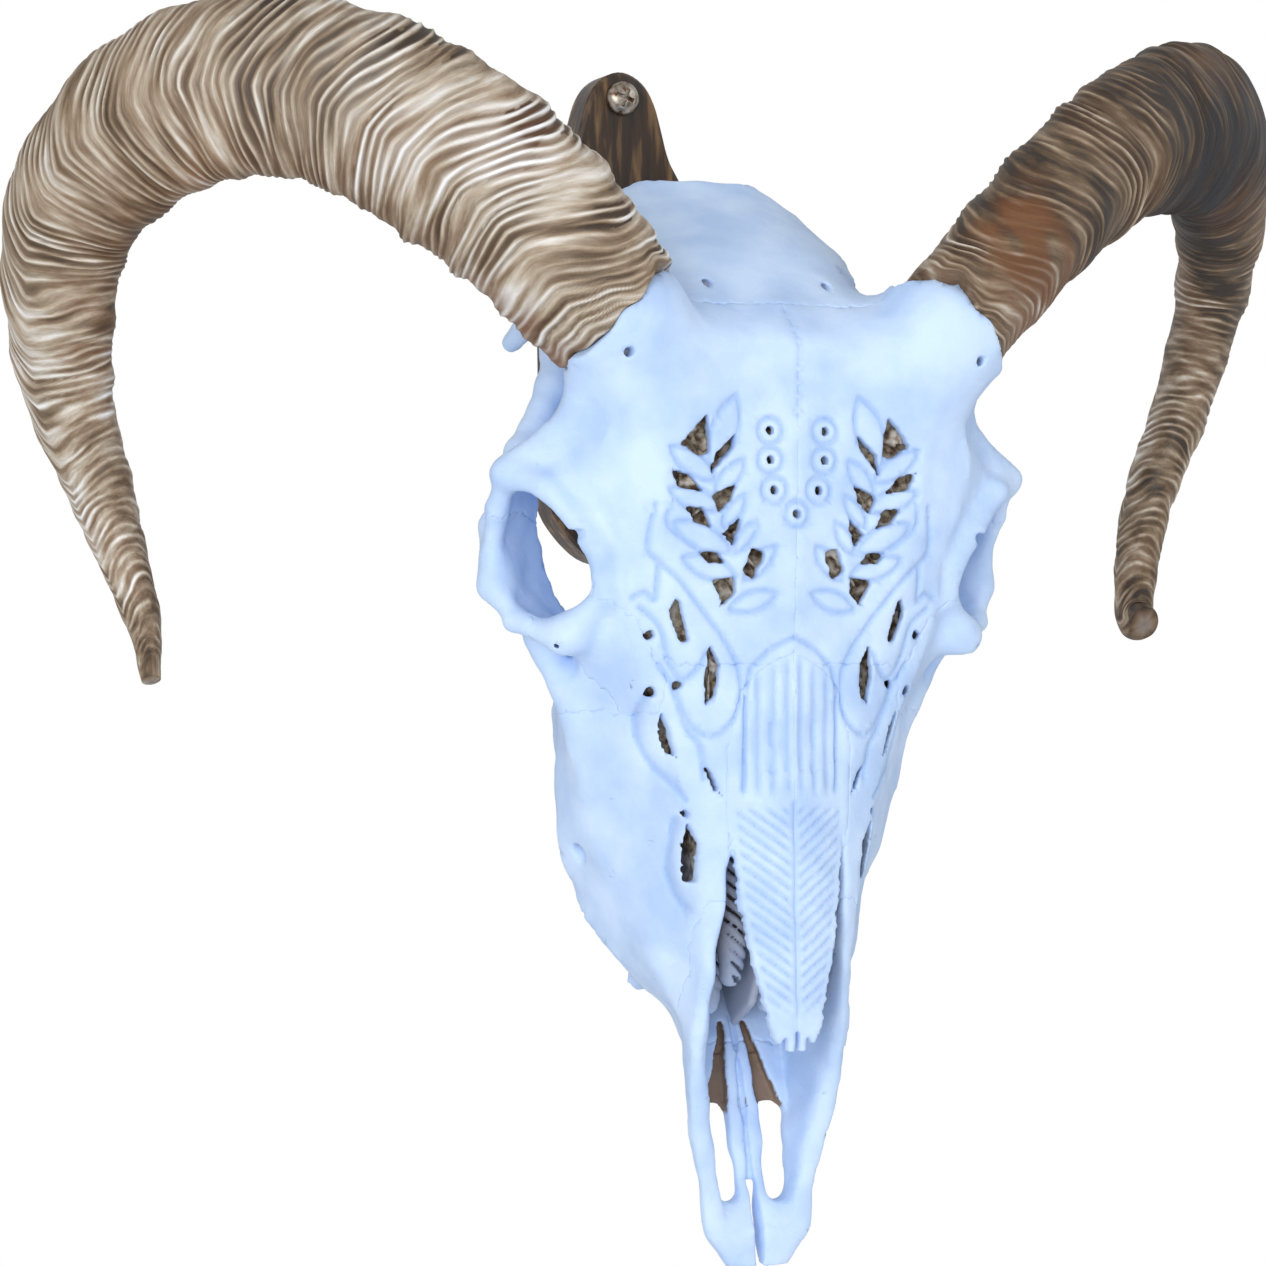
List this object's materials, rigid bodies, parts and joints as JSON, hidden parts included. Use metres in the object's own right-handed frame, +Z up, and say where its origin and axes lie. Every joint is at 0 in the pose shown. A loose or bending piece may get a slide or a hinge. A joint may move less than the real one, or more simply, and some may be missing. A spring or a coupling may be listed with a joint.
{
  "type": "carved ram skull",
  "caption": "Life-size ram skull with curled horns and an openwork carved face, hung nose down on a small wooden wall board.",
  "frame": {"origin": "centre of the back of the wall board, on the wall plane", "axes": "+Z up, +Y into the wall, the face looks along -Y with the nose down, +X is the animal's left"},
  "size_m": [0.3516, 0.1444, 0.317],
  "materials": {
    "bone": "matte",
    "horn": "satin",
    "board_wood": "stained",
    "screw_steel": "worn"
  },
  "bodies": {
    "root": {"cranium": "bone", "frontal_left": "bone", "frontal_right": "bone", "nasal_left": "bone", "nasal_right": "bone", "lacrimal_left": "bone", "lacrimal_right": "bone", "zygomatic_left": "bone", "zygomatic_right": "bone", "maxilla_left": "bone", "maxilla_right": "bone", "premaxilla_left": "bone", "premaxilla_right": "bone", "vomer": "bone", "horn_left": "horn", "horn_right": "horn", "hanger_board": "board_wood", "hanger_peg": "board_wood", "hanger_screw": "screw_steel"}
  },
  "joints": []
}
